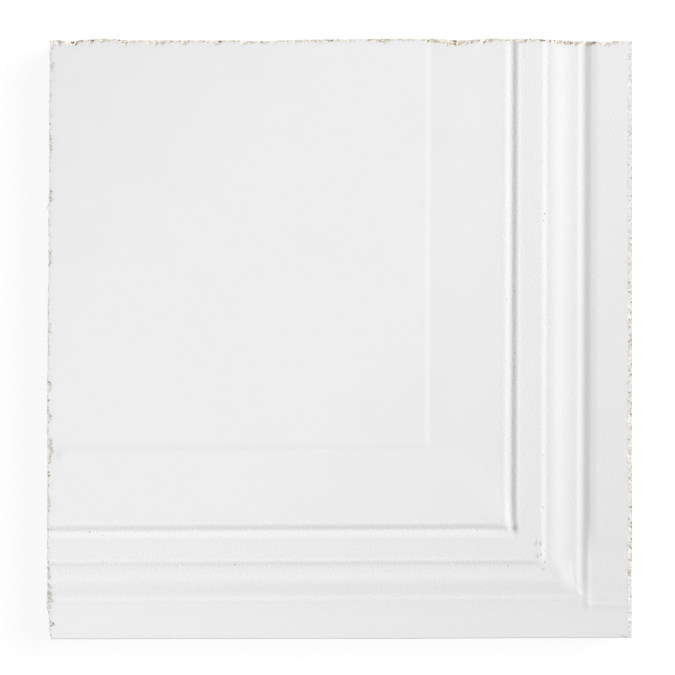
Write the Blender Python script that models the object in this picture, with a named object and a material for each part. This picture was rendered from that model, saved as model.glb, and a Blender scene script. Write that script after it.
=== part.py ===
"""A corner piece cut from a moulded, painted mineral-fibre ceiling tile, lying on its back with its face up.

The piece is one solid board. Its right and bottom sides are the tile's own edges, each with a flat border
that rests on the ceiling grid. Its left and top sides are where it was cut from the tile. Between the
borders and the centre panel runs a mitred moulding: a rim, an ogee, a step, a groove and the panel's lip.
"""

import math
import random

import bmesh
import bpy
from mathutils import Matrix, Vector

MM = 0.001

# The board, face up, with its back on z = 0
BOARD_WIDTH = 153.3 * MM
BOARD_HEIGHT = 157.1 * MM
BOARD_THICKNESS = 15.9 * MM

# The moulding, from its foot at the borders in to the centre panel, as runs across it and rises of the face
RIM_RUN = 1.5 * MM
RIM_RISE = 0.15 * MM
LOWER_LEDGE_RUN = 1.2 * MM
OGEE_RUN = 5.2 * MM
OGEE_RISE = 0.65 * MM
UPPER_LEDGE_RUN = 1.3 * MM
STEP_RUN = 1.7 * MM
STEP_RISE = 0.35 * MM
FRAME_RUN = 6.1 * MM
GROOVE_OUTER_RUN = 1.6 * MM
GROOVE_FLOOR_RUN = 0.3 * MM
GROOVE_INNER_RUN = 1.4 * MM
GROOVE_DEPTH = 0.55 * MM
BAND_RUN = 19.6 * MM
PANEL_LIP_RUN = 1.8 * MM
PANEL_LIP_RISE = 0.16 * MM
CURVE_STEPS = 6

# The borders at the tile's own edges
RIGHT_BORDER_WIDTH = 11.4 * MM
RIGHT_BORDER_RISE = 0.5 * MM
RIGHT_BORDER_END = 8.6 * MM
BOTTOM_BORDER_WIDTH = 9.8 * MM
END_WALL_RUN = 0.1 * MM

# The saw kerf between the moulding and the right border, which runs out near the corner
KERF_WIDTH = 1.57 * MM
KERF_DEPTH = 0.45 * MM
SAW_RADIUS = 150.0 * MM
KERF_ARC_STEPS = 5

# The bevel on the right border's inner edge, which fades out before the corner
BEVEL_RUN = 2.1 * MM
BEVEL_DROP = 0.3 * MM
BEVEL_END = 23.5 * MM
BEVEL_FADE = 7.5 * MM

# The broken edges of the face, where the paint is gone: run across and drop down, each within a range
CUT_EASE_RUN = (0.5 * MM, 1.1 * MM)
CUT_EASE_DROP = (0.4 * MM, 0.9 * MM)
RIGHT_EASE_RUN = (1.0 * MM, 1.3 * MM)
RIGHT_EASE_DROP = (0.7 * MM, 0.9 * MM)
BOTTOM_EASE = (0.2 * MM, 0.2 * MM)
EASE_PAST_FACE = 0.3

# The sides: the cut ones wander and lean, and the left one recedes at the worn lower corner
SIDE_SPACING = 2.0 * MM
SPACING_SHARE = 0.3
CUT_WANDER = 0.22 * MM
EDGE_WANDER = 0.06 * MM
LEFT_LEAN = 0.75 * MM
WORN_CORNER_HEIGHT = 8.5 * MM
WORN_CORNER_BITE = 0.9 * MM
CUT_SEED = 17

# Chips along the cut sides and the right edge: distance along the side, length along it and bite, in mm.
# The top is measured from the left, and the two upright sides from the top.
TOP_CHIPS = ((1.8, 2.6, 1.9), (7.1, 2.4, 0.8), (28.8, 5.4, 1.0), (44.3, 2.2, 0.9), (99.4, 2.6, 0.8),
             (105.8, 9.6, 1.7), (115.4, 2.8, 1.0), (136.1, 6.2, 1.0), (142.6, 2.6, 1.2), (145.4, 3.2, 1.5))
LEFT_CHIPS = ((6.6, 2.4, 0.9), (40.6, 5.2, 1.1), (90.4, 3.0, 1.2), (98.4, 2.8, 1.1), (107.0, 6.6, 1.3),
              (140.5, 1.9, 1.1), (146.6, 4.2, 1.4), (152.3, 1.8, 1.1))
RIGHT_CHIPS = ((71.0, 5.4, 0.7), (99.0, 4.2, 0.8), (110.2, 2.6, 1.4), (134.2, 4.4, 1.3), (140.0, 3.2, 1.2),
               (147.0, 2.2, 0.8), (152.0, 1.4, 0.8))
CHIP_DEPTH = 1.5 * MM
CHIP_ROUGHNESS = 0.15

# Room for cutters and oversize stock, clear of the finished faces
SPARE = 4.0 * MM
WELD = 0.0001 * MM
FLAT_ANGLE = math.radians(0.05)

PAINT_COLOR = (0.80, 0.80, 0.79, 1.0)
PAINT_ROUGHNESS = 0.85

# Places worked out from the sizes above
RIGHT_X = BOARD_WIDTH / 2
LEFT_X = -RIGHT_X
TOP_Y = BOARD_HEIGHT / 2
BOTTOM_Y = -TOP_Y
KERF_RIGHT_X = RIGHT_X - RIGHT_BORDER_WIDTH
MOULDING_X = KERF_RIGHT_X - KERF_WIDTH
KERF_MIDDLE_X = KERF_RIGHT_X - KERF_WIDTH / 2
MOULDING_Y = BOTTOM_Y + BOTTOM_BORDER_WIDTH
BORDER_END_Y = BOTTOM_Y + RIGHT_BORDER_END
FACE_Z = BOARD_THICKNESS
BAND_Z = FACE_Z - PANEL_LIP_RISE
BOTTOM_BORDER_Z = BAND_Z - STEP_RISE - OGEE_RISE - RIM_RISE
RIGHT_BORDER_Z = BOTTOM_BORDER_Z + RIGHT_BORDER_RISE

# Turns an outline drawn as (y, z) to stand across the board, extruded along X
SIDE_VIEW = Matrix(((0, 0, 1, 0), (1, 0, 0, 0), (0, 1, 0, 0), (0, 0, 0, 1)))


def clear_scene():
    for old in list(bpy.data.objects):
        bpy.data.objects.remove(old)


def new_collection(name, hidden):
    collection = bpy.data.collections.new(name)
    collection.hide_render = hidden
    bpy.context.scene.collection.children.link(collection)
    return collection


def paint_material():
    material = bpy.data.materials.new("white_paint")
    material.use_nodes = True
    shader = material.node_tree.nodes["Principled BSDF"]
    shader.inputs["Base Color"].default_value = PAINT_COLOR
    shader.inputs["Roughness"].default_value = PAINT_ROUGHNESS
    shader.inputs["Metallic"].default_value = 0.0
    return material


def eased(part):
    """A smooth 0 to 1, for the soft shoulders of pressed board."""
    return (1 - math.cos(math.pi * part)) / 2


def moulding_profile():
    """(distance in from the moulding's foot, height) at each line of the profile."""
    points = [(0.0, BOTTOM_BORDER_Z)]

    def go(run, rise, steps=1):
        start, height = points[-1]
        for step in range(1, steps + 1):
            part = step / steps
            points.append((start + run * part, height + rise * eased(part)))

    go(RIM_RUN, RIM_RISE, CURVE_STEPS // 2)
    go(LOWER_LEDGE_RUN, 0.0)
    go(OGEE_RUN, OGEE_RISE, CURVE_STEPS)
    go(UPPER_LEDGE_RUN, 0.0)
    go(STEP_RUN, STEP_RISE, CURVE_STEPS // 2)
    go(FRAME_RUN, 0.0)
    go(GROOVE_OUTER_RUN, -GROOVE_DEPTH, CURVE_STEPS // 2)
    go(GROOVE_FLOOR_RUN, 0.0)
    go(GROOVE_INNER_RUN, GROOVE_DEPTH, CURVE_STEPS // 2)
    go(BAND_RUN, 0.0)
    go(PANEL_LIP_RUN, PANEL_LIP_RISE, CURVE_STEPS // 2)
    return points


PROFILE = moulding_profile()


def profile_height(distance):
    if distance <= PROFILE[0][0]:
        return PROFILE[0][1]
    for (start, low), (end, high) in zip(PROFILE, PROFILE[1:]):
        if distance <= end:
            return low + (high - low) * (distance - start) / (end - start)
    return PROFILE[-1][1]


def bevel_strength(y):
    """1 along most of the right border, falling to 0 over the bevel's fade towards the corner."""
    part = (y - (BOTTOM_Y + BEVEL_END)) / BEVEL_FADE
    return min(max(part, 0.0), 1.0)


def face_height(x, y):
    """The height of the face. The moulding's foot and the right border meet in the middle of the kerf."""
    if x > KERF_MIDDLE_X:
        if y < BORDER_END_Y - END_WALL_RUN / 2:
            return BOTTOM_BORDER_Z
        part = min((x - KERF_RIGHT_X) / BEVEL_RUN, 1.0)
        return RIGHT_BORDER_Z - BEVEL_DROP * (1 - part) * bevel_strength(y)
    return profile_height(min(MOULDING_X - x, y - MOULDING_Y))


def relief_lines():
    """The x and y places where the face bends, each of which gets an edge across the stock.

    None is on a wall of the kerf, so that the kerf's cutter shares no edge with the stock.
    """
    xs = [MOULDING_X - distance for distance, _ in PROFILE[1:]]
    xs += [KERF_MIDDLE_X - KERF_WIDTH / 4, KERF_MIDDLE_X + KERF_WIDTH / 4, KERF_RIGHT_X + BEVEL_RUN]
    ys = [MOULDING_Y + distance for distance, _ in PROFILE]
    ys += [BORDER_END_Y, BORDER_END_Y - END_WALL_RUN]
    ys += [BOTTOM_Y + BEVEL_END, BOTTOM_Y + BEVEL_END + BEVEL_FADE]
    return xs, ys


def board_stock(name, collection, material):
    """The board before its sides are cut: a plane with an edge at each line of the relief, made solid."""
    sheet = bmesh.new()
    size = max(BOARD_WIDTH, BOARD_HEIGHT) / 2 + SPARE
    bmesh.ops.create_grid(sheet, x_segments=1, y_segments=1, size=size)

    def cut(place, normal):
        parts = sheet.verts[:] + sheet.edges[:] + sheet.faces[:]
        bmesh.ops.bisect_plane(sheet, geom=parts, dist=WELD, plane_co=place, plane_no=normal)

    xs, ys = relief_lines()
    for x in xs:
        cut((x, 0, 0), (1, 0, 0))
    for y in ys:
        cut((0, y, 0), (0, 1, 0))
    cut((MOULDING_X, MOULDING_Y, 0), (1, 1, 0))
    for vert in sheet.verts:
        vert.co.z = face_height(vert.co.x, vert.co.y)
    bmesh.ops.dissolve_limit(sheet, angle_limit=FLAT_ANGLE, verts=sheet.verts[:], edges=sheet.edges[:])
    bmesh.ops.triangulate(sheet, faces=sheet.faces[:])
    back = bmesh.ops.extrude_face_region(sheet, geom=sheet.faces[:])["geom"]
    for item in back:
        if isinstance(item, bmesh.types.BMVert):
            item.co.z = 0.0
    back_faces = [item for item in back if isinstance(item, bmesh.types.BMFace)]
    bmesh.ops.dissolve_faces(sheet, faces=back_faces, use_verts=True)
    bmesh.ops.recalc_face_normals(sheet, faces=sheet.faces[:])
    mesh = bpy.data.meshes.new(name)
    sheet.to_mesh(mesh)
    sheet.free()
    mesh.materials.append(material)
    board = bpy.data.objects.new(name, mesh)
    collection.objects.link(board)
    return board


def prism(name, outline, low, high, turn, collection):
    """A solid with this flat outline, from low to high along its own Z, then turned."""
    curve = bpy.data.curves.new(name, "CURVE")
    curve.dimensions = "2D"
    curve.fill_mode = "BOTH"
    curve.extrude = (high - low) / 2
    spline = curve.splines.new("POLY")
    spline.points.add(len(outline) - 1)
    for point, (x, y) in zip(spline.points, outline):
        point.co = (x, y, 0, 1)
    spline.use_cyclic_u = True
    source = bpy.data.objects.new(name + "_curve", curve)
    bpy.context.scene.collection.objects.link(source)
    bpy.context.view_layer.update()
    mesh = bpy.data.meshes.new_from_object(source)
    bpy.data.objects.remove(source)
    mesh.transform(turn @ Matrix.Translation((0, 0, (low + high) / 2)))
    solid = bmesh.new()
    solid.from_mesh(mesh)
    bmesh.ops.remove_doubles(solid, verts=solid.verts[:], dist=WELD)
    bmesh.ops.recalc_face_normals(solid, faces=solid.faces[:])
    solid.to_mesh(mesh)
    solid.free()
    return cutter(name, mesh, collection)


def cutter(name, mesh, collection):
    helper = bpy.data.objects.new(name, mesh)
    helper.hide_render = True
    helper.display_type = "WIRE"
    collection.objects.link(helper)
    return helper


def side_points(start, end, wander, run, drop, rng):
    """Points along a side: each one's place, the way inward, and the run and drop of its ease."""
    along = end - start
    inward = Vector((along.y, -along.x)).normalized()
    count = max(2, round(along.length / SIDE_SPACING))
    points = []
    for step in range(count):
        shift = rng.uniform(-SPACING_SHARE, SPACING_SHARE) if 1 < step < count - 1 else 0.0
        place = start + along * (step + shift) / count
        if step:
            place += inward * rng.uniform(0, wander)
        points.append((place, inward, rng.uniform(*run), rng.uniform(*drop)))
    return points


def board_outline():
    """The sides from the lower left corner, up the left side, along the top, down the right and back."""
    rng = random.Random(CUT_SEED)
    corner = Vector((LEFT_X + WORN_CORNER_BITE, BOTTOM_Y))
    worn = Vector((LEFT_X, BOTTOM_Y + WORN_CORNER_HEIGHT))
    upper_left = Vector((LEFT_X + LEFT_LEAN, TOP_Y))
    upper_right = Vector((RIGHT_X, TOP_Y))
    lower_right = Vector((RIGHT_X, BOTTOM_Y))
    points = []
    for start, end in ((corner, worn), (worn, upper_left), (upper_left, upper_right)):
        points += side_points(start, end, CUT_WANDER, CUT_EASE_RUN, CUT_EASE_DROP, rng)
    points += side_points(upper_right, lower_right, EDGE_WANDER, RIGHT_EASE_RUN, RIGHT_EASE_DROP, rng)
    points += side_points(lower_right, corner, 0.0, BOTTOM_EASE, BOTTOM_EASE, rng)
    return points


def trimmer(name, collection):
    """The solid that trims the stock: upright sides, then an ease that runs up and in through the face."""
    outline = board_outline()
    solid = bmesh.new()
    rings = [[], [], [], []]
    for number, (place, inward, run, drop) in enumerate(outline):
        ease = inward * run
        _, before, run_before, _ = outline[number - 1]
        if before.dot(inward) < 0.5:
            ease += before * run_before
        surface = face_height(place.x + ease.x, place.y + ease.y)
        past = place + (1 + EASE_PAST_FACE) * ease
        over = surface + EASE_PAST_FACE * drop
        levels = ((place, -SPARE), (place, surface - drop), (past, over), (past, FACE_Z + SPARE))
        for ring, (spot, z) in zip(rings, levels):
            ring.append(solid.verts.new((spot.x, spot.y, z)))
    for lower, upper in zip(rings, rings[1:]):
        for number in range(len(outline)):
            corners = (lower[number - 1], lower[number], upper[number], upper[number - 1])
            solid.faces.new(corners)
    solid.faces.new(rings[0])
    solid.faces.new(rings[-1])
    bmesh.ops.triangulate(solid, faces=solid.faces[:])
    bmesh.ops.recalc_face_normals(solid, faces=solid.faces[:])
    mesh = bpy.data.meshes.new(name)
    solid.to_mesh(mesh)
    solid.free()
    return cutter(name, mesh, collection)


def kerf_outline():
    """The kerf from the side, as (y, z): a straight floor, then the saw's arc up through the face."""
    floor = BOTTOM_BORDER_Z - KERF_DEPTH
    run_out = math.acos(1 - KERF_DEPTH / SAW_RADIUS)
    centre_y = BORDER_END_Y - 2 * END_WALL_RUN + SAW_RADIUS * math.sin(run_out)
    points = [(TOP_Y + 2 * SPARE, FACE_Z + SPARE), (TOP_Y + 2 * SPARE, floor)]
    for step in range(KERF_ARC_STEPS + 2):
        angle = run_out * step / KERF_ARC_STEPS
        rise = SAW_RADIUS * (1 - math.cos(angle))
        points.append((centre_y - SAW_RADIUS * math.sin(angle), floor + rise))
    points.append((points[-1][0], FACE_Z + SPARE))
    return points


def chip_cutters(collection):
    """One rough blob for each chip, sunk into the top of its side."""
    rng = random.Random(CUT_SEED + 1)
    chips = []
    for at, length, bite in TOP_CHIPS:
        chips.append(("top", Vector((LEFT_X + at * MM, TOP_Y, 0)), length, bite, False))
    for at, length, bite in LEFT_CHIPS:
        lean = LEFT_LEAN * (1 - at * MM / BOARD_HEIGHT)
        chips.append(("left", Vector((LEFT_X + lean, TOP_Y - at * MM, 0)), length, bite, True))
    for at, length, bite in RIGHT_CHIPS:
        chips.append(("right", Vector((RIGHT_X, TOP_Y - at * MM, 0)), length, bite, True))
    for number, (side, place, length, bite, upright) in enumerate(chips, 1):
        inside = place.copy()
        inside.x = min(max(inside.x, LEFT_X + SPARE / 2), RIGHT_X - SPARE / 2)
        inside.y = min(inside.y, TOP_Y - SPARE / 2)
        place.z = face_height(inside.x, inside.y)
        blob = bmesh.new()
        bmesh.ops.create_icosphere(blob, subdivisions=1, radius=1.0)
        turn = Matrix.Rotation(rng.uniform(0, math.tau), 3, "Z")
        bmesh.ops.rotate(blob, verts=blob.verts[:], matrix=turn)
        for vert in blob.verts:
            vert.co *= rng.uniform(1 - CHIP_ROUGHNESS, 1 + CHIP_ROUGHNESS)
            vert.co.x *= (bite if upright else length / 2) * MM
            vert.co.y *= (length / 2 if upright else bite) * MM
            vert.co.z *= CHIP_DEPTH
            vert.co += place
        mesh = bpy.data.meshes.new(f"{side}_chip_{number:02d}")
        blob.to_mesh(mesh)
        blob.free()
        cutter(mesh.name, mesh, collection)


def boolean(board, name, operation, cutters):
    """Trims or cuts the board by one object or by all of a collection.

    The chips are many and small, and meet the eased edges at any angle, so they take the solver that always
    leaves a closed board.
    """
    modifier = board.modifiers.new(name, "BOOLEAN")
    modifier.operation = operation
    if isinstance(cutters, bpy.types.Collection):
        modifier.solver = "MANIFOLD"
        modifier.operand_type = "COLLECTION"
        modifier.collection = cutters
    else:
        modifier.solver = "EXACT"
        modifier.object = cutters


def build():
    clear_scene()
    parts = new_collection("ceiling_tile", False)
    helpers = new_collection("cutters", True)
    chips = new_collection("chips", True)
    board = board_stock("tile_board", parts, paint_material())
    trim = trimmer("trimmer", helpers)
    kerf = prism("saw_kerf", kerf_outline(), MOULDING_X, KERF_RIGHT_X, SIDE_VIEW, helpers)
    chip_cutters(chips)
    boolean(board, "trim_sides", "INTERSECT", trim)
    boolean(board, "cut_kerf", "DIFFERENCE", kerf)
    boolean(board, "chip_edges", "DIFFERENCE", chips)


build()
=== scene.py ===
"""Looks of the ceiling tile's corner piece: the painted, moulded face, its broken edges and the fibre core."""

import math
from collections import namedtuple

import bpy
import numpy as np
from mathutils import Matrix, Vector, noise


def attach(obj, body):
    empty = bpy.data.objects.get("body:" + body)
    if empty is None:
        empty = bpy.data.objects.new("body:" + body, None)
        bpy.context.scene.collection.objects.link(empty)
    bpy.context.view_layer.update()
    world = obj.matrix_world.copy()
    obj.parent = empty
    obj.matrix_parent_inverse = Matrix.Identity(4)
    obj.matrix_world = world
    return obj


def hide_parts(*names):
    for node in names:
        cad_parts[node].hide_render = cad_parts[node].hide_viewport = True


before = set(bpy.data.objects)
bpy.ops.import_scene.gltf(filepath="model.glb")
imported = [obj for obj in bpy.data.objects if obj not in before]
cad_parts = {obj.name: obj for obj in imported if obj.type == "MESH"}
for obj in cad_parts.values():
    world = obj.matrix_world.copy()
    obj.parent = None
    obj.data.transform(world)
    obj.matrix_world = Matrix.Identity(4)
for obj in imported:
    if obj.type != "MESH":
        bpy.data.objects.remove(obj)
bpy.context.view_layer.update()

MM = 0.001

# ---------------------------------------------------------------- sizes of the board, in mm, as in its model
BOARD_WIDTH, BOARD_HEIGHT, BOARD_THICKNESS = 153.3, 157.1, 15.9
LEFT, RIGHT = -BOARD_WIDTH / 2, BOARD_WIDTH / 2
BOTTOM, TOP = -BOARD_HEIGHT / 2, BOARD_HEIGHT / 2
RIGHT_BORDER, KERF_WIDTH, BOTTOM_BORDER = 11.4, 1.57, 9.8
MOULDING_RIGHT = RIGHT - RIGHT_BORDER - KERF_WIDTH
MOULDING_FOOT = BOTTOM + BOTTOM_BORDER
PANEL_LIP = 0.16
FRAME_Z = BOARD_THICKNESS - PANEL_LIP
MOULDING_WIDTH = 41.7
FLAT_BAND = 14.0  # how far in from the foot the flat band between step and groove is
SIDE_STRETCH = 6.6  # how far in the sheet is drawn along with a side's outline

# The moulding's rises from its foot in to the panel: (where one starts, how wide it is, how much it rises).
# The upright leg runs along the kerf and the level leg along the bottom, where the ogee is pressed less deep.
UPRIGHT_LEG = (
    (0.28, 1.32, 0.21),    # rim
    (2.85, 5.45, 0.52),    # ogee, steeper in its upper part
    (4.70, 3.40, 0.18),
    (9.35, 1.65, 0.35),    # step
    (17.32, 1.50, -0.62),  # outer wall of the groove
    (19.10, 1.35, 0.26),   # its inner wall
    (20.90, 18.0, 0.36),   # the band's slight tilt
    (39.80, 1.80, PANEL_LIP),
)
LEVEL_LEG = (
    (-3.60, 4.00, 0.16),   # soft rise out of the border
    (-0.60, 1.20, 0.075),  # up and down over the rim
    (0.65, 0.80, -0.065),
    (1.50, 4.10, 0.53),    # ogee, with a slight fall behind it
    (5.60, 2.20, -0.16),
    (8.60, 1.90, 0.15),    # step
    (9.50, 1.15, 0.21),
    (16.90, 1.75, -0.69),  # outer wall of the groove
    (18.70, 1.60, 0.70),   # its inner wall
    (20.90, 18.0, -0.02),  # the band's slight tilt
    (39.80, 1.80, PANEL_LIP),
)
# Fine ridges beside them, where the press has pushed the board up: (middle, width, height)
UPRIGHT_RIDGES = ((8.55, 0.5, 0.025), (17.0, 0.38, 0.09), (20.9, 0.4, 0.022))
LEVEL_RIDGES = ((10.85, 0.42, 0.095), (16.6, 0.4, 0.025), (20.62, 0.36, 0.085))

# The saw kerf is painted over and shows as a soft valley. Its far side rises to the right border, less and
# shorter in its last stretch before the corner, where the saw has run out: (start, width, rise) from the foot.
KERF_SIDE = ((-0.05, 2.35, 0.61), (1.50, 2.40, 0.28))
KERF_RUN_OUT = ((-0.15, 1.50, 0.31),)
RUN_OUT_END, RUN_OUT_START = -59.3, -46.0
# The border's lower end, as shares of its height: (start, width, share)
BORDER_END = ((-72.2, 2.0, 0.25), (-71.2, 1.45, 0.75))


def clamp(value, low=0.0, high=1.0):
    return min(max(value, low), high)


def smooth(part):
    part = clamp(part)
    return part * part * (3 - 2 * part)


def hump(distance, middle, width, height):
    """A small rounded ridge, or with a negative height a small hollow, across the moulding."""
    return height * math.exp(-(((distance - middle) / width) ** 2))


def between(knots, place):
    """Straight between (place, value) knots."""
    if place <= knots[0][0]:
        return knots[0][1]
    for (start, low), (end, high) in zip(knots, knots[1:]):
        if place <= end:
            return low + (high - low) * (place - start) / (end - start)
    return knots[-1][1]


# ---------------------------------------------------------------- the moulded face
def rises(parts, place):
    return sum(rise * smooth((place - start) / width) for start, width, rise in parts)


def leg_height(parts, ridges, place):
    """Height of a leg of the moulding above its own flat band between step and groove."""
    height = rises(parts, place) - rises(parts, FLAT_BAND)
    return height + sum(hump(place, *ridge) for ridge in ridges)


LEG_PLACES = np.arange(-4.0, 45.0, 0.05)
UPRIGHT_HEIGHTS = [leg_height(UPRIGHT_LEG, UPRIGHT_RIDGES, place) for place in LEG_PLACES]
LEVEL_HEIGHTS = [leg_height(LEVEL_LEG, LEVEL_RIDGES, place) for place in LEG_PLACES]


# Small pits in the face: x, y, radius, depth and how much painted shade they hold
PITS = ((45.7, -49.7, 0.8, 0.36, 0.35), (52.1, -53.0, 0.28, 0.15, 0.8), (51.5, -53.7, 0.25, 0.12, 0.7),
        (52.7, -53.6, 0.22, 0.10, 0.6), (51.9, -57.1, 0.25, 0.12, 0.6), (52.8, -56.8, 0.22, 0.10, 0.5),
        (53.4, -60.4, 0.30, 0.10, 0.45))
# The mitre: over how many mm the level leg's profile passes into the upright leg's, by how far in from the foot
MITRE_BLEND = ((2.0, 1.5), (3.0, 9.0), (5.5, 7.0), (7.5, 4.0), (13.0, 5.0), (15.0, 8.0))
# The upright leg's foot comes up at the mitre, to the level leg's: by how much, over how far along, over how far in
FOOT_LIFT, FOOT_LIFT_LENGTH, FOOT_LIFT_WIDTH = 0.33, 15.0, 8.0


def moulding_height(x, y):
    """Both legs of the moulding, each passing into the other along the mitre, and the pits in them."""
    in_x, in_y = MOULDING_RIGHT - x, y - MOULDING_FOOT
    place = min(in_x, in_y)
    soft = 2.2 if place < 12.5 else 0.9
    part = clamp(0.5 + (in_x - in_y) / (2 * soft))
    place -= soft * min(part, 1 - part) ** 2
    upright = float(np.interp(place, LEG_PLACES, UPRIGHT_HEIGHTS))
    level = float(np.interp(place, LEG_PLACES, LEVEL_HEIGHTS))
    past = in_y - max(in_x, 0.0)
    upright += FOOT_LIFT * (1 - smooth(past / FOOT_LIFT_LENGTH)) * (1 - smooth(place / FOOT_LIFT_WIDTH))
    past -= between(((2.0, 1.1), (3.0, 0.0)), place)  # the rim stops short of the mitre
    share = smooth(past / between(MITRE_BLEND, place))
    height = level + (upright - level) * share
    if in_y < in_x:  # the level leg is pressed less deep at its left end
        height *= 1 - 0.2 * smooth((-x - 15.0) / 55.0)
    if 16.0 < place < 22.0:  # and the groove is shallower in its corner
        height *= 1 - 0.4 * math.exp(-(((in_y - in_x) / 3.2) ** 2))
    pits = sum(hump(math.hypot(x - pit_x, y - pit_y), 0.0, radius, depth) for pit_x, pit_y, radius, depth, _ in PITS)
    return FRAME_Z + height - pits


def border_rise(x, y):
    """How far the right border stands above the kerf's foot."""
    place = x - MOULDING_RIGHT
    if place < -0.5:
        return 0.0
    full = smooth((y - RUN_OUT_END) / (RUN_OUT_START - RUN_OUT_END))
    long, short = rises(KERF_SIDE, place), rises(KERF_RUN_OUT, place) * (1 - 0.5 * smooth((-62.0 - y) / 4.0))
    height = short + (long - short) * full
    height += hump(place, 1.62, 0.45, 0.08) * (1 - full)
    height += hump(y, -69.6, 0.45, 0.045) * smooth((place - 0.6) / 1.0)
    return height * rises(BORDER_END, y)


def face_height(x, y):
    return moulding_height(x, y) + border_rise(x, y)


def lean(x, y):
    """The moulding isn't pressed quite square to the sides: how far its lines move from their straight places."""
    across = 0.0030 * (y + 35.6) * smooth(min(x - LEFT, RIGHT - x) / SIDE_STRETCH)
    up = -0.0048 * (34.7 - x) * smooth(min(y - BOTTOM, TOP - y) / SIDE_STRETCH)
    return Vector((across, up))


# Shallow soft dents near the left side: x, y, turn, length, width and depth
DENTS = ((-74.2, -30.2, math.radians(50), 1.7, 0.75, 0.22), (-70.0, 24.0, math.radians(20), 1.5, 0.8, 0.03))


def dent_depth(x, y):
    depth = 0.0
    for middle_x, middle_y, turn, length, width, deep in DENTS:
        off_x, off_y = x - middle_x, y - middle_y
        if abs(off_x) + abs(off_y) < 8:
            along = (off_x * math.cos(turn) + off_y * math.sin(turn)) / length
            across = (off_y * math.cos(turn) - off_x * math.sin(turn)) / width
            depth += deep * math.exp(-(along**2 + across**2))
    return depth


def shade_and_tone_at(x, y, near_break):
    """How much the paint is darkened: painted shade in the kerf, towards two corners, in the dents and in the pits;
    beside that a faint even darkening, more on the right border, on the band inside the upright leg's groove and
    beside the broken sides.
    """
    # Painted shade along the kerf's valley, fading out towards its lower end
    kerf = math.exp(-(((x - MOULDING_RIGHT - 1.1) / 0.90) ** 2)) * (0.14 - 0.08 * smooth((-50.0 - y) / 15.0))
    kerf *= smooth((y + 69.0) / 8)
    # Painted shade: the paint darker towards the lower right corner, and a little towards the upper left one
    corner = 0.155 * clamp((x - y - 8.0) / 135.0) + 0.094 * clamp((-x + y - 60.0) / 86.0) ** 1.3
    border = 0.015 + 0.02 * smooth((x - MOULDING_RIGHT - 2.0) / 2.0)
    in_x, in_y = MOULDING_RIGHT - x, y - MOULDING_FOOT
    band = 0.035 * smooth((in_x - 20.0) / 3.0) * smooth((42.0 - in_x) / 3.0) * smooth((in_y - in_x) / 8.0)
    # Painted shade in the dents
    dent = 0.5 * dent_depth(x, y)
    side = 0.05 * smooth(1 - near_break / 1.9)
    # Painted shade in the pits
    pits = sum(hump(math.hypot(x - pit_x, y - pit_y), 0.0, radius, pit_shade) for pit_x, pit_y, radius, _, pit_shade in PITS)
    return clamp(kerf + corner + border + band + dent + side + pits)


def grain_at(x, y):
    """How strong the paint's grain is: rough on the pressed moulding and its edges, smooth on band and panel."""
    place = min(MOULDING_RIGHT - x, y - MOULDING_FOOT)
    if place < -0.5:
        return 0.85 if x > MOULDING_RIGHT and y > -72.0 else 0.25
    if place > 22.5:
        return 0.30 if place < MOULDING_WIDTH - 1.5 else 0.10
    edges = math.exp(-(((place - 10.2) / 1.1) ** 2)) + math.exp(-(((place - 18.9) / 1.9) ** 2))
    return (1.0 + 1.1 * edges) * smooth((22.5 - place) / 1.5) + 0.30


# ---------------------------------------------------------------- the sides
# How far each side stands in from the board's box: (distance along the side, inset). The top and bottom are
# measured from the left, and the left and right from the top.
LEFT_SIDE = ((0, 0.75), (13.5, 0.72), (16, 0.59), (39.6, 0.59), (42.8, 0.43), (43.2, 0.0), (43.9, 0.0),
             (44.4, 0.43), (65.8, 0.43), (68, 0.27), (81.5, 0.27), (86.7, 0.17), (90, 0.07), (144, 0.07),
             (146, -0.12), (148.5, -0.1), (150.3, 0.44), (154.7, 0.5), (156.3, 0.95), (157.1, 1.1))
TOP_SIDE = ((0, 0.3), (1.5, 0.06), (4.1, 0.5), (6.7, 0.52), (9.3, 0.18), (14.6, -0.08), (18, 0.1), (22.4, 0.33),
            (48.6, 0.33), (56.4, 0.6), (62, 0.28), (67, 0.12), (81, 0.04), (86, -0.07), (103.5, -0.07),
            (108.8, 0.31), (114, -0.15), (116.6, -0.18), (119.5, -0.05), (127, -0.04), (132.3, 0.15),
            (138, 0.44), (142.8, 0.46), (145.4, 0.82), (148, 0.5), (153.3, 0.5))
RIGHT_SIDE = ((0, 0.1), (40, 0.0), (65, 0.06), (76, 0.02), (110, 0.1), (132, -0.05), (140, 0.1), (157.1, 0.05))
BOTTOM_SIDE = ((0, -0.1), (16, -0.12), (22, -0.03), (93, -0.03), (106, 0.04), (127, 0.18), (153.3, 0.2))

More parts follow.
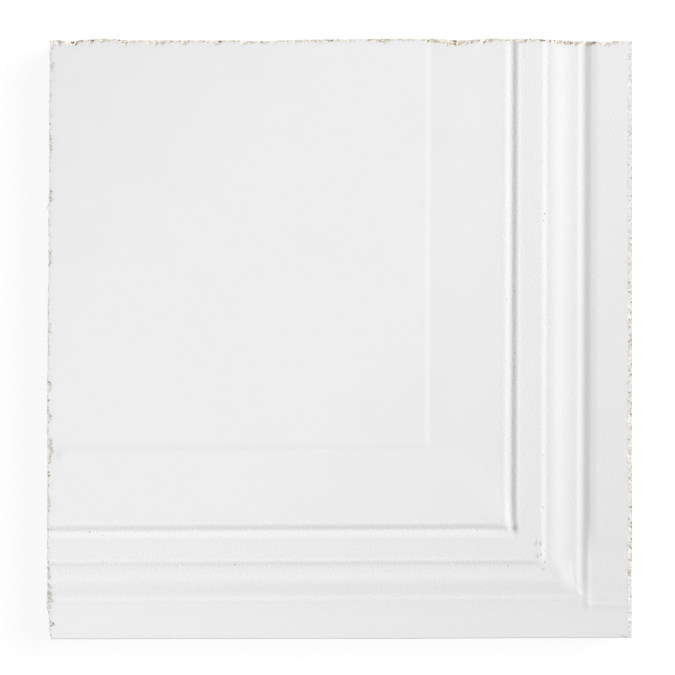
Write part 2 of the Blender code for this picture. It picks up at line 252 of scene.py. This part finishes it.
# Where paint and core have broken away along the sides: (distance along, length, reach in, depth)
LEFT_CHIPS = ((1.2, 3.0, 1.5, 0.7), (6.8, 2.8, 1.1, 0.5), (14.3, 1.2, 0.9, 0.4), (27.5, 3.5, 0.6, 0.3),
              (40.4, 5.6, 0.8, 0.4), (57.0, 4.0, 0.5, 0.3), (75.5, 3.0, 0.5, 0.3), (90.7, 3.2, 1.1, 0.6),
              (98.5, 3.0, 1.1, 0.6), (107.0, 7.0, 1.4, 0.8), (122.0, 3.0, 0.6, 0.3), (140.2, 1.9, 1.0, 0.6),
              (143.1, 1.3, 1.1, 0.6), (145.6, 3.4, 1.6, 1.0), (148.2, 1.2, 0.9, 0.5), (152.9, 1.2, 1.5, 0.7))
TOP_CHIPS = ((1.8, 3.0, 1.3, 0.8), (6.2, 2.8, 1.1, 0.6), (7.4, 1.2, 1.3, 1.0), (11.1, 1.2, 0.9, 0.6),
             (14.0, 1.6, 0.7, 0.4), (20.0, 4.4, 0.7, 0.4), (28.4, 5.6, 1.0, 0.6), (36.0, 2.4, 0.6, 0.3),
             (44.1, 2.6, 0.9, 0.5), (52.0, 3.0, 0.6, 0.4), (70.0, 4.0, 0.5, 0.3), (88.0, 3.0, 0.5, 0.4),
             (99.4, 2.8, 0.8, 0.5), (105.8, 10.6, 1.5, 0.9), (114.8, 3.0, 1.0, 0.6), (124.0, 3.0, 0.6, 0.3),
             (135.8, 7.0, 0.9, 0.6), (141.9, 3.2, 0.8, 0.8), (147.0, 5.0, 0.8, 0.5))
RIGHT_CHIPS = ((5.7, 0.9, 0.3, 0.3), (12.1, 1.4, 0.4, 0.3), (71.0, 8.0, 0.3, 0.3), (99.0, 3.6, 0.3, 0.3),
               (105.5, 3.0, 0.3, 0.3), (109.4, 1.6, 0.7, 0.5), (134.4, 4.4, 0.3, 0.4), (140.3, 2.6, 0.4, 0.6),
               (146.6, 1.5, 0.3, 0.3), (151.9, 1.5, 0.3, 0.3))
BOTTOM_CHIPS = ((150.9, 1.8, 0.7, 0.3),)

# Each side: its outline, its chips and how much of their depth shows, the bare strip's width, how much that wanders
# and how far it drops, how rough its wall is, and how much paint has run over the broken core
Side = namedtuple("Side", "outline chips chip_share strip wander fall roughness overspray")
SIDES = {
    "left": Side(LEFT_SIDE, LEFT_CHIPS, 0.4, 0.48, 1.1, 0.03, 0.7, 0.4),
    "top": Side(TOP_SIDE, TOP_CHIPS, 1.0, 0.55, 1.1, 0.25, 1.0, 0.0),
    "right": Side(RIGHT_SIDE, RIGHT_CHIPS, 1.0, 1.15, 0.3, 0.15, 0.5, 0.2),
    "bottom": Side(BOTTOM_SIDE, BOTTOM_CHIPS, 1.0, 0.04, 1.1, 0.20, 0.2, 0.3),
}
BROKEN = 0.7  # a side that is this rough is broken, with a ragged outline
WALL_INSET, BACK_INSET = 0.12, 0.2  # how far a rough wall stands in under the paint, and in again at the back

# Where a deep pore or the saw's scorch shows dark in the broken core: x, y, radius, darkness
DARK_SPOTS = (
    (64.2, 77.5, 0.45, 0.7), (65.1, 77.9, 0.4, 0.5), (65.9, 77.4, 0.5, 0.7), (66.8, 77.7, 0.35, 0.6),
    (-69.2, 77.2, 0.5, 0.8), (-75.15, 76.6, 0.3, 0.8), (-74.1, 76.7, 0.3, 0.8), (25.0, 77.7, 0.8, 0.5),
    (33.2, 76.7, 0.4, 0.8), (56.5, 77.2, 0.6, 0.5), (60.6, 77.2, 0.6, 0.5), (-75.15, -26.9, 0.45, 0.6),
    (-75.3, -30.8, 0.45, 0.7), (-76.2, -66.2, 0.5, 0.45), (75.1, -30.5, 0.4, 0.6), (75.8, -35.4, 0.35, 0.5),
    (76.0, -40.1, 0.35, 0.6), (75.9, -48.2, 0.5, 0.7), (75.8, -54.6, 0.55, 0.75), (75.9, -61.8, 0.8, 0.8),
    (75.4, -68.1, 0.4, 0.45), (75.6, -73.3, 0.4, 0.45),
)
# Where the paint is crumpled below the top edge: from x, to x, and how far down
CRUMPLED = (54.0, 66.5, 4.5)


def side_places(x, y):
    """For each side, how far in from it a point of the board's box is, and how far along it."""
    return {"left": (x - LEFT, TOP - y), "top": (TOP - y, x - LEFT), "right": (RIGHT - x, TOP - y),
            "bottom": (y - BOTTOM, x - LEFT)}


def chip_at(chips, along):
    """How much further in the bare strip reaches here, and how much deeper it is."""
    reach = depth = 0.0
    for middle, length, chip_reach, chip_depth in chips:
        part = 1 - (2 * (along - middle) / length) ** 2
        if part > 0:
            reach = max(reach, chip_reach * part**0.5)
            depth = max(depth, chip_depth * part)
    return reach, depth


def ragged(along, seed, size, octaves=4):
    """Uneven along a side, about -1 to 1."""
    return noise.fractal(Vector((along / size, seed, 0.37 * seed)), 0.8, 2.0, octaves)


def core_relief(x, y, z):
    """(height, pore) of broken fibre core at a place: crumbs stand out, and pores go in."""
    place = Vector((x, y, z))
    height = 0.11 * noise.fractal(place * 0.9, 0.8, 2.1, 3) + 0.07 * noise.fractal(place * 2.8, 0.8, 2.0, 2)
    nearest = noise.voronoi(place * 0.8)[0][0] / 0.8
    size = 0.10 + 0.30 * clamp(0.5 + noise.noise(place * 0.35 + Vector((9, 3, 1))))
    pore = smooth((size - nearest) / 0.22)
    return height - 0.35 * pore, pore


# ---------------------------------------------------------------- edges of the sheet
def spread(start, end, most):
    """Evenly spread places from start to end, both left out, no further apart than most."""
    count = max(1, math.ceil(abs(end - start) / most))
    return [start + (end - start) * step / count for step in range(1, count)]


# Lines along the sides, by how far in from the side they are, and fewer of them along the bottom
EDGE_LINES = (0.2, 0.4, 0.6, 0.8, 1.02, 1.26, 1.55, 1.9, 2.4, 3.0, 3.8, 5.0, SIDE_STRETCH)
BOTTOM_LINES = (0.15, 0.35, 0.7, 1.2, 2.0, 3.2, 4.6)
# The sheet's cells: on flat paint, along the cut sides, in the strip inside that, and along the right and bottom
CELL, FINE_CELL, DENT_CELL, RIGHT_CELL, BOTTOM_CELL = 2.9, 0.27, 0.8, 0.33, 1.2
EDGE_STRIP, DENT_STRIP, BOTTOM_STRIP = 1.95, 5.1, 0.75  # how far in each of those reaches

# Lines along the moulding, close on its curves: (from, to, spacing)
MOULDING_LINES = ((-0.9, 12.0, 0.26), (12.0, 16.2, 1.05), (16.2, 21.8, 0.24), (21.8, 39.6, 2.9), (39.6, 41.8, 0.3))


def line_places():
    """How far in from the moulding's foot each line along it is."""
    places = []
    for start, end, spacing in MOULDING_LINES:
        count = round((end - start) / spacing)
        places += [start + (end - start) * step / count for step in range(count)]
    return [*places, MOULDING_LINES[-1][1]]


def across_lines():
    """The x of every line that runs up the sheet."""
    lines = [MOULDING_RIGHT - place for place in line_places()]
    lines += [MOULDING_RIGHT + 0.9 + 0.27 * step for step in range(1, 15)]  # over the kerf's far side
    lines += [LEFT + step for step in EDGE_LINES] + [RIGHT - step for step in EDGE_LINES[:10]]
    lines += spread(MOULDING_RIGHT + 4.8, RIGHT - 3.0, CELL)
    lines += spread(LEFT + EDGE_LINES[-1], MOULDING_RIGHT - MOULDING_WIDTH, CELL)
    return sorted(lines)


def upward_lines():
    """The y of every line that runs across the sheet."""
    lines = [MOULDING_FOOT + place for place in line_places()]
    lines += [-72.4 + 0.3 * step for step in range(10)]  # over the right border's lower end
    lines += [BOTTOM + step for step in BOTTOM_LINES]
    lines += [TOP - step for step in EDGE_LINES]
    lines += spread(TOP - EDGE_LINES[-1], MOULDING_FOOT + MOULDING_WIDTH, CELL)
    return sorted(lines)


# The wall below the face's edge, as shares of the way down to the back
WALL_ROWS = (0.015, 0.035, 0.06, 0.09, 0.13, 0.17, 0.22, 0.27, 0.32, 0.37, 0.42, 0.47, 0.52, 0.57, 0.62, 0.67,
             0.72, 0.77, 0.82, 0.87, 0.92, 0.965, 1.0)


def select_edges(board, wanted):
    """In edit mode, selects the edges whose two ends, each given as rows of x, y and z, answer to wanted."""
    bpy.ops.object.mode_set(mode="OBJECT")
    mesh = board.data
    places = np.empty(len(mesh.vertices) * 3)
    mesh.vertices.foreach_get("co", places)
    ends = np.empty(len(mesh.edges) * 2, dtype=int)
    mesh.edges.foreach_get("vertices", ends)
    first, last = (places.reshape(-1, 3)[ends.reshape(-1, 2)[:, end]].T / MM for end in (0, 1))
    for group in (mesh.polygons, mesh.vertices):
        group.foreach_set("select", np.zeros(len(group), dtype=bool))
    mesh.edges.foreach_set("select", wanted(first, last))
    bpy.ops.object.mode_set(mode="EDIT")


def cut_line(place, normal):
    bpy.ops.mesh.select_all(action="SELECT")
    bpy.ops.mesh.bisect(plane_co=place, plane_no=normal, threshold=1e-7)


def board_sheet():
    """A flat sheet with an edge along every line of the relief, fine cells along its sides, and its walls."""
    bpy.ops.object.select_all(action="DESELECT")
    bpy.ops.mesh.primitive_plane_add(size=1.0, location=(0, 0, 0))
    board = bpy.context.object
    board.name = board.data.name = "painted_board"
    bpy.ops.object.mode_set(mode="EDIT")
    bpy.context.tool_settings.mesh_select_mode = (False, True, False)
    bpy.ops.transform.resize(value=(BOARD_WIDTH * MM, BOARD_HEIGHT * MM, 1))
    for x in across_lines():
        cut_line((x * MM, 0, 0), (1, 0, 0))
    for y in upward_lines():
        cut_line((0, y * MM, 0), (0, 1, 0))

    def in_mitre(p):
        return (p[0] > MOULDING_RIGHT - MOULDING_WIDTH - 0.1) & (p[1] < MOULDING_FOOT + MOULDING_WIDTH + 0.1)

    select_edges(board, lambda a, b: in_mitre(a) & in_mitre(b))
    bpy.ops.mesh.bisect(plane_co=(MOULDING_RIGHT * MM, MOULDING_FOOT * MM, 0), plane_no=(1, 1, 0), threshold=1e-7)

    def refine(inside, least):
        for cuts in range(12, 0, -1):
            def wanted(a, b):
                off = np.abs(a - b)
                count = np.ceil((off[0] + off[1]) / least - 0.01) - 1
                return (off[:2].min(axis=0) < 1e-4) & inside(a) & inside(b) & (count == cuts)
            select_edges(board, wanted)
            bpy.ops.mesh.subdivide(number_cuts=cuts)

    refine(lambda p: (p[0] < LEFT + EDGE_STRIP) | (p[1] > TOP - EDGE_STRIP), FINE_CELL)
    refine(lambda p: (p[0] < LEFT + DENT_STRIP) | (p[1] > TOP - DENT_STRIP), DENT_CELL)
    refine(lambda p: p[0] > RIGHT - EDGE_STRIP, RIGHT_CELL)
    refine(lambda p: p[1] < BOTTOM + BOTTOM_STRIP, BOTTOM_CELL)

    bpy.ops.mesh.select_all(action="DESELECT")
    bpy.ops.mesh.select_non_manifold(extend=False, use_wire=False, use_multi_face=False,
                                     use_non_contiguous=False, use_verts=False)
    for _ in WALL_ROWS:
        bpy.ops.mesh.extrude_edges_move(TRANSFORM_OT_translate={"value": (0, 0, -MM)})
    bpy.ops.mesh.edge_face_add()
    bpy.ops.mesh.select_all(action="SELECT")
    bpy.ops.mesh.normals_make_consistent(inside=False)
    bpy.ops.object.mode_set(mode="OBJECT")
    return board


def break_at(name, within, along):
    """At a place near a side: its outline's inset, the bare strip's width here, and how far the core has dropped."""
    side = SIDES[name]
    seed = 3.1 + len(name)
    inset = between(side.outline, along)
    if side.roughness >= BROKEN:
        inset += 0.13 + 0.09 * ragged(along, seed, 0.9) + 0.05 * ragged(along, seed, 0.35, 2)
    reach, depth = chip_at(side.chips, along)
    reach *= 0.75 + 0.55 * ragged(along, seed + 9, 0.8)
    depth *= side.chip_share
    bare = side.strip * max(0.2, 0.8 + side.wander * ragged(along, seed + 5, 1.3)) + max(reach, 0.0)
    part = clamp(1 - within / bare)
    return inset, bare, (side.fall * min(1.0, part * 2.2) + depth * min(1.0, part * 1.6)) if part else 0.0


def crumple_at(x, y):
    """Height of the crumpled paint under the top edge."""
    start, end, reach = CRUMPLED
    if not (start < x < end and TOP - y < reach):
        return 0.0
    shape = 0.07 * ragged(x + 0.6 * y, 0.5 * y, 0.9, 3)
    return shape * smooth((TOP - y) / 1.2) * smooth(1 - (TOP + 0.5 - y) / reach)


def overspray_at(x, y, spray):
    """The paint over the right side's core is thickest towards its two ends."""
    if x > 70.0 and spray > 0:
        spray += 0.45 * smooth((-62.5 - y) / 2.0) + 0.35 * smooth((y - 10.0) / 30.0)
    return clamp(spray)


def shape_board(board):
    """Raises the flat sheet to the moulded face, sets its sides to their outlines and roughens what is broken."""
    mesh = board.data
    places = np.empty(len(mesh.vertices) * 3)
    mesh.vertices.foreach_get("co", places)
    places = places.reshape(-1, 3) / MM
    marks = {name: np.zeros(len(places)) for name in ("paint_edge", "pore", "dust", "grain", "overspray")}
    inwards = {"left": (1, 0), "top": (0, -1), "right": (-1, 0), "bottom": (0, 1)}
    for number, (x, y, level) in enumerate(places):
        row = round(-level)
        shift = lean(x, y)
        drop = rough = spray = 0.0
        edge = near = 7.0
        outward = Vector((0.0, 0.0, 0.0))
        for name, (within, along) in side_places(x, y).items():
            if within > SIDE_STRETCH + 0.3:
                continue
            inset, bare, fallen = break_at(name, within, along)
            shift += Vector(inwards[name]) * inset * smooth(1 - within / SIDE_STRETCH)
            edge = min(edge, within - bare)
            if name != "bottom":
                near = min(near, max(within - bare, 0.0) + (0.9 if name == "right" else 0.0))
            if within < bare:
                drop = max(drop, fallen)
                rough = max(rough, SIDES[name].roughness * smooth((bare - within) / 0.3))
            if within < 3.0:
                spray = max(spray, SIDES[name].overspray * (1 + 0.5 * ragged(along, 7.0, 2.2)))
            if within < 0.01:
                outward -= Vector((*inwards[name], 0))
        z = face_height(x, y) - drop - dent_depth(x, y) + crumple_at(x, y)
        spot = Vector((x + shift.x, y + shift.y, z))
        up = 1 - WALL_ROWS[row - 1] if row else 1
        if row:
            spot.z = z * up
            rough = max(SIDES[name].roughness for name, (within, _) in side_places(x, y).items() if within < 0.01)
            edge = -2.0 if rough > 0.3 else 1.0  # bare core on the rough walls, and paint on the bottom one
            spot -= outward * WALL_INSET * rough
            if row == len(WALL_ROWS):
                spot -= outward * BACK_INSET
                rough = 0.0
        if rough > 0:
            relief, pore = core_relief(*spot)
            spot += (outward * min(1.0, 0.4 + row * 0.2) + Vector((0, 0, 0.0 if row else 0.8))) * relief * rough
            for spot_x, spot_y, radius, darkness in DARK_SPOTS:  # dark where they are, and free of paint
                away = math.hypot(x - spot_x, y - spot_y)
                if row == 0 and away < 1.5 * radius:
                    spot_share = smooth(1.6 - 1.1 * away / radius)
                    pore = max(pore, darkness * spot_share)
                    spray *= 1 - spot_share
            marks["pore"][number] = pore * rough
        places[number] = spot
        marks["paint_edge"][number] = edge
        marks["dust"][number] = shade_and_tone_at(x, y, near)
        marks["grain"][number] = grain_at(x, y)
        marks["overspray"][number] = overspray_at(x, y, spray) * up
    mesh.vertices.foreach_set("co", (places * MM).ravel())
    for name, values in marks.items():
        layer = mesh.attributes.new(name, "FLOAT", "POINT")
        layer.data.foreach_set("value", values)
    mesh.update()


# ---------------------------------------------------------------- materials
def add(tree, kind, place, **values):
    node = tree.nodes.new(kind)
    node.location = place
    for name, value in values.items():
        setattr(node, name, value)
    return node


def wire(tree, *pairs):
    """Joins sockets given as (node, output name, node, input name or number)."""
    for source, output, target, entry in pairs:
        tree.links.new(source.outputs[output], target.inputs[entry])


def noise_node(tree, place, scale, detail, roughness=0.5):
    node = add(tree, "ShaderNodeTexNoise", place)
    node.inputs["Scale"].default_value = scale
    node.inputs["Detail"].default_value = detail
    node.inputs["Roughness"].default_value = roughness
    return node


def range_node(tree, place, low, high, to_low=0.0, to_high=1.0):
    node = add(tree, "ShaderNodeMapRange", place)
    node.inputs["From Min"].default_value = low
    node.inputs["From Max"].default_value = high
    node.inputs["To Min"].default_value = to_low
    node.inputs["To Max"].default_value = to_high
    return node


def fibre_core_group():
    """Pressed mineral fibre where it is broken or cut: pale crumbs, tan fibre and dark brown pores."""
    group = bpy.data.node_groups.new("fibre_core", "ShaderNodeTree")
    face = group.interface
    face.new_socket("Vector", in_out="INPUT", socket_type="NodeSocketVector")
    face.new_socket("Pore", in_out="INPUT", socket_type="NodeSocketFloat")
    face.new_socket("Overspray", in_out="INPUT", socket_type="NodeSocketFloat")
    face.new_socket("Pale", in_out="INPUT", socket_type="NodeSocketColor")
    face.new_socket("Tan", in_out="INPUT", socket_type="NodeSocketColor")
    face.new_socket("Dark", in_out="INPUT", socket_type="NodeSocketColor")
    face.new_socket("Color", in_out="OUTPUT", socket_type="NodeSocketColor")
    face.new_socket("Height", in_out="OUTPUT", socket_type="NodeSocketFloat")
    start = add(group, "NodeGroupInput", (-900, 0))
    end = add(group, "NodeGroupOutput", (900, 0))
    patches = noise_node(group, (-600, 300), 1300, 3, 0.6)
    patch_ramp = range_node(group, (-400, 300), 0.44, 0.60)
    tan = add(group, "ShaderNodeMix", (-150, 200), data_type="RGBA")
    clumps = noise_node(group, (-600, 0), 420, 2)
    clump_ramp = range_node(group, (-400, 0), 0.42, 0.58, 0.45, 0.90)
    specks = add(group, "ShaderNodeTexVoronoi", (-600, -250))
    specks.inputs["Scale"].default_value = 1500
    speck_ramp = range_node(group, (-400, -250), 0.42, 0.26)
    chance = add(group, "ShaderNodeSeparateColor", (-400, -500))
    some = add(group, "ShaderNodeMath", (-200, -400), operation="GREATER_THAN")
    speck = add(group, "ShaderNodeMath", (-50, -250), operation="MULTIPLY")
    dark = add(group, "ShaderNodeMath", (120, -150), operation="MAXIMUM")
    color = add(group, "ShaderNodeMix", (350, 100), data_type="RGBA")
    sprayed = add(group, "ShaderNodeMix", (600, 100), data_type="RGBA")
    sprayed.inputs["B"].default_value = (0.80, 0.79, 0.795, 1)
    height = add(group, "ShaderNodeMath", (350, -200), operation="SUBTRACT")
    for texture in (patches, clumps, specks):
        group.links.new(start.outputs["Vector"], texture.inputs["Vector"])
    wire(group, (patches, "Fac", patch_ramp, "Value"), (patch_ramp, "Result", tan, "Factor"),
         (start, "Pale", tan, "A"), (start, "Tan", tan, "B"),
         (clumps, "Fac", clump_ramp, "Value"), (clump_ramp, "Result", some, 1),
         (specks, "Distance", speck_ramp, "Value"), (specks, "Color", chance, "Color"), (chance, "Red", some, 0),
         (speck_ramp, "Result", speck, 0), (some, "Value", speck, 1),
         (speck, "Value", dark, 0), (start, "Pore", dark, 1),
         (dark, "Value", color, "Factor"), (tan, "Result", color, "A"), (start, "Dark", color, "B"),
         (color, "Result", sprayed, "A"), (start, "Overspray", sprayed, "Factor"), (sprayed, "Result", end, "Color"),
         (patches, "Fac", height, 0), (dark, "Value", height, 1),
         (height, "Value", end, "Height"))
    return group


def place_core(tree, group, place, pale, tan, dark):
    """Puts the fibre core in a material, on Object coordinates."""
    coordinates = add(tree, "ShaderNodeTexCoord", (place[0] - 400, place[1] - 200))
    pore = add(tree, "ShaderNodeAttribute", (place[0] - 400, place[1]), attribute_name="pore")
    overspray = add(tree, "ShaderNodeAttribute", (place[0] - 400, place[1] - 400), attribute_name="overspray")
    core = add(tree, "ShaderNodeGroup", place, node_tree=group)
    wire(tree, (coordinates, "Object", core, "Vector"), (pore, "Fac", core, "Pore"),
         (overspray, "Fac", core, "Overspray"))
    core.inputs["Pale"].default_value = (*pale, 1)
    core.inputs["Tan"].default_value = (*tan, 1)
    core.inputs["Dark"].default_value = (*dark, 1)
    return coordinates, core


CORE_PALE, CORE_TAN, CORE_DARK = (0.85, 0.81, 0.755), (0.63, 0.55, 0.45), (0.19, 0.145, 0.10)


def painted_material(group):
    """Matt white factory paint with painted shade in places, torn ragged where it has broken off, with the core
    under it.
    """
    material = bpy.data.materials.new("white_paint_face")
    material.use_nodes = True
    tree = material.node_tree
    shader = tree.nodes["Principled BSDF"]
    shader.location = (1300, 0)
    tree.nodes["Material Output"].location = (1600, 0)
    coordinates, core = place_core(tree, group, (100, -300), CORE_PALE, CORE_TAN, CORE_DARK)
    edge = add(tree, "ShaderNodeAttribute", (-900, 700), attribute_name="paint_edge")
    dust = add(tree, "ShaderNodeAttribute", (-900, 200), attribute_name="dust")
    grain = add(tree, "ShaderNodeAttribute", (-900, -600), attribute_name="grain")

    # The paint's torn edge wanders by up to a third of a millimetre
    tear = noise_node(tree, (-900, 500), 1900, 3, 0.6)
    torn = add(tree, "ShaderNodeMath", (-650, 600), operation="MULTIPLY_ADD")
    torn.inputs[1].default_value = 0.9
    kept = range_node(tree, (-450, 600), 0.42, 0.52)

    # Paint with painted shade in places, a little cloudy, with pinholes in the pressed parts whose shade is painted
    # dark
    cloud = noise_node(tree, (-900, 0), 70, 4)
    cloudy = range_node(tree, (-650, 0), 0.3, 0.7, -0.012, 0.012)
    shade_and_cloud = add(tree, "ShaderNodeMath", (-450, 150), operation="ADD")
    paint = add(tree, "ShaderNodeMix", (-200, 250), data_type="RGBA")
    paint.inputs["A"].default_value = (0.853, 0.854, 0.851, 1)
    # the colour the painted shade darkens the paint towards
    paint.inputs["B"].default_value = (0.370, 0.405, 0.405, 1)
    holes = add(tree, "ShaderNodeTexVoronoi", (-900, -300))
    holes.inputs["Scale"].default_value = 520
    hole = range_node(tree, (-650, -250), 0.12, 0.05)
    chance = add(tree, "ShaderNodeSeparateColor", (-650, -450))
    pricked = add(tree, "ShaderNodeMath", (-450, -450), operation="MULTIPLY")
    some = range_node(tree, (-250, -450), 1.45, 1.55)
    pinhole = add(tree, "ShaderNodeMath", (-50, -100), operation="MULTIPLY")
    pitted = add(tree, "ShaderNodeMix", (100, 200), data_type="RGBA")
    # painted shade inside the pinholes
    pitted.inputs["B"].default_value = (0.50, 0.49, 0.47, 1)
    color = add(tree, "ShaderNodeMix", (800, 200), data_type="RGBA")

    # Orange peel of the paint over the pressed fibre
    peel = noise_node(tree, (-500, -800), 1700, 2, 0.6)
    uneven = range_node(tree, (-350, -800), 0.25, 0.75, -0.15, 0.15)
    peel_height = add(tree, "ShaderNodeMath", (-200, -700), operation="MULTIPLY")
    pit = add(tree, "ShaderNodeMath", (100, -700), operation="SUBTRACT")
    heights = add(tree, "ShaderNodeMix", (800, -400), data_type="FLOAT")
    bump = add(tree, "ShaderNodeBump", (1050, -300))
    bump.inputs["Distance"].default_value = 0.00012
    for texture in (tear, cloud, holes, peel):
        wire(tree, (coordinates, "Object", texture, "Vector"))
    wire(tree, (tear, "Fac", torn, 0), (edge, "Fac", torn, 2), (torn, "Value", kept, "Value"),
         (cloud, "Fac", cloudy, "Value"), (dust, "Fac", shade_and_cloud, 0), (cloudy, "Result", shade_and_cloud, 1),
         (shade_and_cloud, "Value", paint, "Factor"),
         (holes, "Distance", hole, "Value"), (holes, "Color", chance, "Color"), (chance, "Red", pricked, 0),
         (grain, "Fac", pricked, 1), (pricked, "Value", some, "Value"), (hole, "Result", pinhole, 0),
         (some, "Result", pinhole, 1), (paint, "Result", pitted, "A"), (pinhole, "Value", pitted, "Factor"),
         (kept, "Result", color, "Factor"), (core, "Color", color, "A"), (pitted, "Result", color, "B"),
         (color, "Result", shader, "Base Color"),
         (peel, "Fac", uneven, "Value"), (uneven, "Result", peel_height, 0), (grain, "Fac", peel_height, 1),
         (peel_height, "Value", pit, 0),
         (pinhole, "Value", pit, 1), (kept, "Result", heights, "Factor"), (core, "Height", heights, "A"),
         (pit, "Value", heights, "B"), (heights, "Result", bump, "Height"), (bump, "Normal", shader, "Normal"))
    shader.inputs["Roughness"].default_value = 0.88
    shader.inputs["Specular IOR Level"].default_value = 0.25
    return material


def core_material(group, name, pale, tan, dark, depth):
    """Bare fibre core, with its crumbs and pores raised by depth in metres."""
    material = bpy.data.materials.new(name)
    material.use_nodes = True
    tree = material.node_tree
    shader = tree.nodes["Principled BSDF"]
    shader.location = (600, 0)
    tree.nodes["Material Output"].location = (900, 0)
    _, core = place_core(tree, group, (-200, 0), pale, tan, dark)
    bump = add(tree, "ShaderNodeBump", (300, -250))
    bump.inputs["Distance"].default_value = depth
    wire(tree, (core, "Color", shader, "Base Color"), (core, "Height", bump, "Height"),
         (bump, "Normal", shader, "Normal"))
    shader.inputs["Roughness"].default_value = 0.95
    shader.inputs["Specular IOR Level"].default_value = 0.15
    return material


def finish_board(board):
    """Gives the face and the bottom side their paint, and the other sides and the back their bare core."""
    group = fibre_core_group()
    mesh = board.data
    mesh.materials.append(painted_material(group))
    mesh.materials.append(core_material(group, "cut_core", (0.80, 0.765, 0.71), (0.68, 0.61, 0.52),
                                        (0.36, 0.30, 0.24), 0.00025))
    mesh.materials.append(core_material(group, "back_fibre", (0.74, 0.71, 0.66), (0.66, 0.60, 0.52),
                                        (0.42, 0.35, 0.28), 0.00012))
    for polygon in mesh.polygons:
        centre = polygon.center / MM
        if polygon.normal.z < -0.9 and centre.z < 0.2:  # the back
            polygon.material_index = 2
        elif abs(polygon.normal.z) < 0.6 and centre.y > BOTTOM + 0.6 and centre.z < 13.0:  # the walls under the rim
            side = min(centre.x - LEFT, RIGHT - centre.x, TOP - centre.y)
            polygon.material_index = 1 if side < 1.2 else 0
    bpy.ops.object.select_all(action="DESELECT")
    board.select_set(True)
    bpy.context.view_layer.objects.active = board
    bpy.ops.object.shade_smooth_by_angle(angle=math.radians(55))


# ---------------------------------------------------------------- the floor, the light and the camera
def looked_at(tree, x, y):
    """1 for what is seen directly, mirrored or through something, and 0 for the light that falls on things."""
    path = add(tree, "ShaderNodeLightPath", (x, y))
    seen = add(tree, "ShaderNodeMath", (x + 200, y), operation="MAXIMUM")
    through = add(tree, "ShaderNodeMath", (x + 400, y), operation="MAXIMUM")
    wire(tree, (path, "Is Camera Ray", seen, 0), (path, "Is Glossy Ray", seen, 1),
         (seen, "Value", through, 0), (path, "Is Transmission Ray", through, 1))
    return through


FLOOR_WHITE, FLOOR_GLOW = 0.88, 1.02  # how much of the seen floor is even white, and how bright; the rest is shadow


def floor():
    bpy.ops.object.select_all(action="DESELECT")
    bpy.ops.mesh.primitive_plane_add(size=6.0, location=(0, 0, -0.00005))
    ground = bpy.context.object
    ground.name = "floor"
    material = bpy.data.materials.new("pale_floor")
    material.use_nodes = True
    tree = material.node_tree
    tree.nodes.remove(tree.nodes["Principled BSDF"])
    seen = looked_at(tree, -600, 300)
    share = add(tree, "ShaderNodeMath", (0, 300), operation="MULTIPLY")
    share.inputs[1].default_value = FLOOR_WHITE
    matt = add(tree, "ShaderNodeBsdfDiffuse", (-200, 0))
    matt.inputs["Color"].default_value = (0.97, 0.97, 0.97, 1)
    white = add(tree, "ShaderNodeEmission", (-200, -150))
    white.inputs["Strength"].default_value = FLOOR_GLOW
    mix = add(tree, "ShaderNodeMixShader", (100, 0))
    wire(tree, (seen, "Value", share, 0), (share, "Value", mix, "Fac"), (matt, "BSDF", mix, 1),
         (white, "Emission", mix, 2), (mix, "Shader", tree.nodes["Material Output"], "Surface"))
    ground.data.materials.append(material)


# The key: its share of all the light on flat paint, where it stands, and how wide it looks from the board
KEY_SHARE = 0.62
KEY_TURN, KEY_RISE, KEY_WIDTH = math.radians(22.5), math.radians(47), math.radians(39)


def lights():
    """A soft key from the right and a little above, and even white light all round, together at the plain level."""
    way = Vector((math.cos(KEY_TURN) * math.cos(KEY_RISE), math.sin(KEY_TURN) * math.cos(KEY_RISE),
                  math.sin(KEY_RISE)))
    data = bpy.data.lights.new("key", "SUN")
    data.angle = KEY_WIDTH
    data.energy = KEY_SHARE * math.pi / math.sin(KEY_RISE)
    key = bpy.data.objects.new("key", data)
    key.location = way * 2.0
    key.rotation_euler = way.to_track_quat("Z", "Y").to_euler()
    bpy.context.scene.collection.objects.link(key)
    world = bpy.data.worlds.new("studio")
    world.use_nodes = True
    tree = world.node_tree
    back = tree.nodes["Background"]
    back.inputs["Color"].default_value = (1, 1, 1, 1)
    level = range_node(tree, (-200, 300), 0.0, 1.0, 1 - KEY_SHARE, 1.0)
    wire(tree, (looked_at(tree, -800, 300), "Value", level, "Value"), (level, "Result", back, "Strength"))
    bpy.context.scene.world = world


CAMERA_HEIGHT, VIEW_WIDTH, SENSOR = 1.0, 0.1766, 36  # over the face and across the picture in m, and in mm


def camera():
    """Straight above the face, as far off as makes the long lens of the photo."""
    data = bpy.data.cameras.new("camera")
    data.sensor_width = SENSOR
    data.lens = SENSOR * CAMERA_HEIGHT / VIEW_WIDTH
    data.clip_end = 20
    eye = bpy.data.objects.new("camera", data)
    eye.location = (-0.00046, 0.00034, BOARD_THICKNESS * MM + CAMERA_HEIGHT)
    bpy.context.scene.collection.objects.link(eye)
    bpy.context.scene.camera = eye


camera()
lights()
floor()
board = board_sheet()
shape_board(board)
finish_board(board)
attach(board, "root")
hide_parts("tile_board")
bpy.context.scene.view_settings.view_transform = "Standard"
